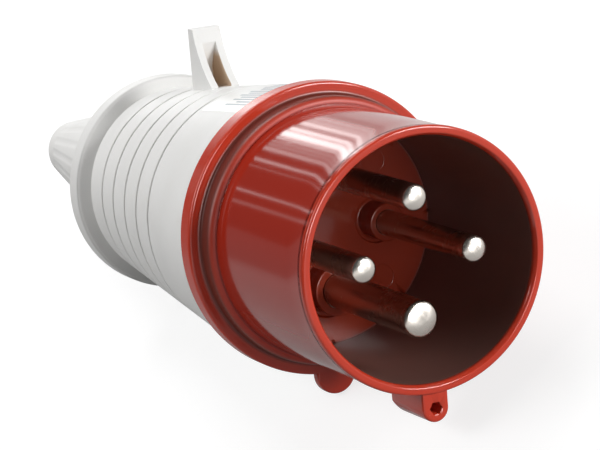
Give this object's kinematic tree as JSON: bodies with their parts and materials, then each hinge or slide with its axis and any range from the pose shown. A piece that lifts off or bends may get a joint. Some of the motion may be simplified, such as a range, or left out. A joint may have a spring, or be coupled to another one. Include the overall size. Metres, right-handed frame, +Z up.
{
  "type": "industrial pin and sleeve plug",
  "caption": "Three-phase cable plug with a round keyed shroud around its contact pins, a tapered ribbed housing with a lid catch, and a long conical screw gland.",
  "frame": {"origin": "centre of the plug's bounding box at the level of the ground it lies on", "axes": "+Y runs along the plug from the shroud to the cable end, +Z is up, +X is to the right seen from the front; the plug's own axis drops 4.62 degrees towards the rear and the plug is rolled 31.1 degrees, so that the lid catch leans to +X"},
  "size_m": [0.0574, 0.1742, 0.0575],
  "materials": {
    "red_plastic": "glossy moulded polyamide, red",
    "grey_plastic": "satin moulded polyamide, light grey",
    "plated_brass": "nickel-plated turned brass",
    "carrier_plastic": "matt dark grey thermoset",
    "cage_plastic": "matt grey polyamide",
    "seal_rubber": "black elastomer",
    "plated_steel": "zinc-plated steel"
  },
  "bodies": {
    "plug": {"front_shell": "red_plastic", "earth_pin": "plated_brass", "l1_pin": "plated_brass", "l2_pin": "plated_brass", "l3_pin": "plated_brass", "terminal_carrier": "carrier_plastic", "carrier_screw_1": "plated_steel", "carrier_screw_2": "plated_steel", "earth_terminal_screw": "plated_steel", "l1_terminal_screw": "plated_steel", "l2_terminal_screw": "plated_steel", "l3_terminal_screw": "plated_steel", "earth_pressure_plate": "plated_steel", "l1_pressure_plate": "plated_steel", "l2_pressure_plate": "plated_steel", "l3_pressure_plate": "plated_steel", "flange_gasket": "seal_rubber", "housing": "grey_plastic", "clamp_cage": "cage_plastic", "cable_sleeve": "seal_rubber"},
    "gland_washer": {"thrust_washer": "plated_steel"},
    "gland": {"gland_nut": "grey_plastic"}
  },
  "joints": [
    {"name": "gland_slide", "type": "slide", "parent": "plug", "child": "gland_washer", "axis": [0, 0.9967, -0.0806], "range_m": [0, 0.006]},
    {"name": "gland_turn", "type": "hinge", "parent": "gland_washer", "child": "gland", "pos_m": [0, 0.03182, 0.0228], "axis": [0, 0.9967, -0.0806], "range_deg": [0, 720]}
  ],
  "couplings": [
    {"joint": "gland_slide", "follows": "gland_turn", "m_per_rad": 0.00047746}
  ]
}
